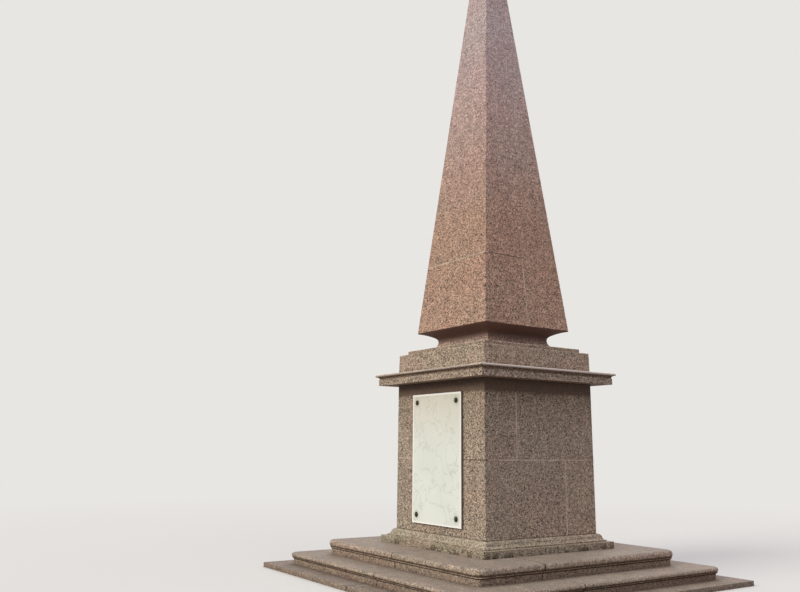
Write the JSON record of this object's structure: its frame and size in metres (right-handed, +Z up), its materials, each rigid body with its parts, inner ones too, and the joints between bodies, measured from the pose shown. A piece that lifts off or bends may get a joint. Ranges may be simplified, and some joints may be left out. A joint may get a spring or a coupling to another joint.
{
  "type": "granite obelisk on a stepped pedestal",
  "caption": "Square granite obelisk on a moulded pedestal with nosed steps, a cornice, a hollowed neck and a bare marble plaque.",
  "frame": {"origin": "centre of the ground slab's underside, at ground level", "axes": "+Z up along the shaft, -Y out of the face with the plaque, +X to the right of that face"},
  "size_m": [4.29, 4.29, 8.338],
  "materials": {
    "tan_granite": "fine-dressed, weathered",
    "weathered_granite": "worn and dusty",
    "white_marble": "honed",
    "dark_iron": "dark patina"
  },
  "bodies": {
    "root": {"attic_block": "tan_granite", "attic_step": "tan_granite", "cornice": "tan_granite", "die_lower_front_block": "tan_granite", "die_lower_rear_block": "tan_granite", "die_upper_front_block": "tan_granite", "die_upper_rear_block": "tan_granite", "ground_slab_front_left": "weathered_granite", "ground_slab_front_right": "weathered_granite", "ground_slab_middle_left": "weathered_granite", "ground_slab_middle_right": "weathered_granite", "ground_slab_rear_left": "weathered_granite", "ground_slab_rear_right": "weathered_granite", "lower_step_front_left": "weathered_granite", "lower_step_front_right": "weathered_granite", "lower_step_middle_left": "weathered_granite", "lower_step_middle_right": "weathered_granite", "lower_step_rear_left": "weathered_granite", "lower_step_rear_right": "weathered_granite", "neck": "tan_granite", "pedestal_plinth": "tan_granite", "plaque": "white_marble", "plaque_bolts": "dark_iron", "pyramidion": "tan_granite", "shaft_course_1_front": "tan_granite", "shaft_course_1_rear": "tan_granite", "shaft_course_2_left": "tan_granite", "shaft_course_2_right": "tan_granite", "shaft_course_3": "tan_granite", "shaft_course_4": "tan_granite", "shaft_course_5": "tan_granite", "shaft_course_6": "tan_granite", "shaft_course_7": "tan_granite", "upper_step_front_left": "weathered_granite", "upper_step_front_right": "weathered_granite", "upper_step_middle_left": "weathered_granite", "upper_step_middle_right": "weathered_granite", "upper_step_rear_left": "weathered_granite", "upper_step_rear_right": "weathered_granite"}
  },
  "joints": []
}
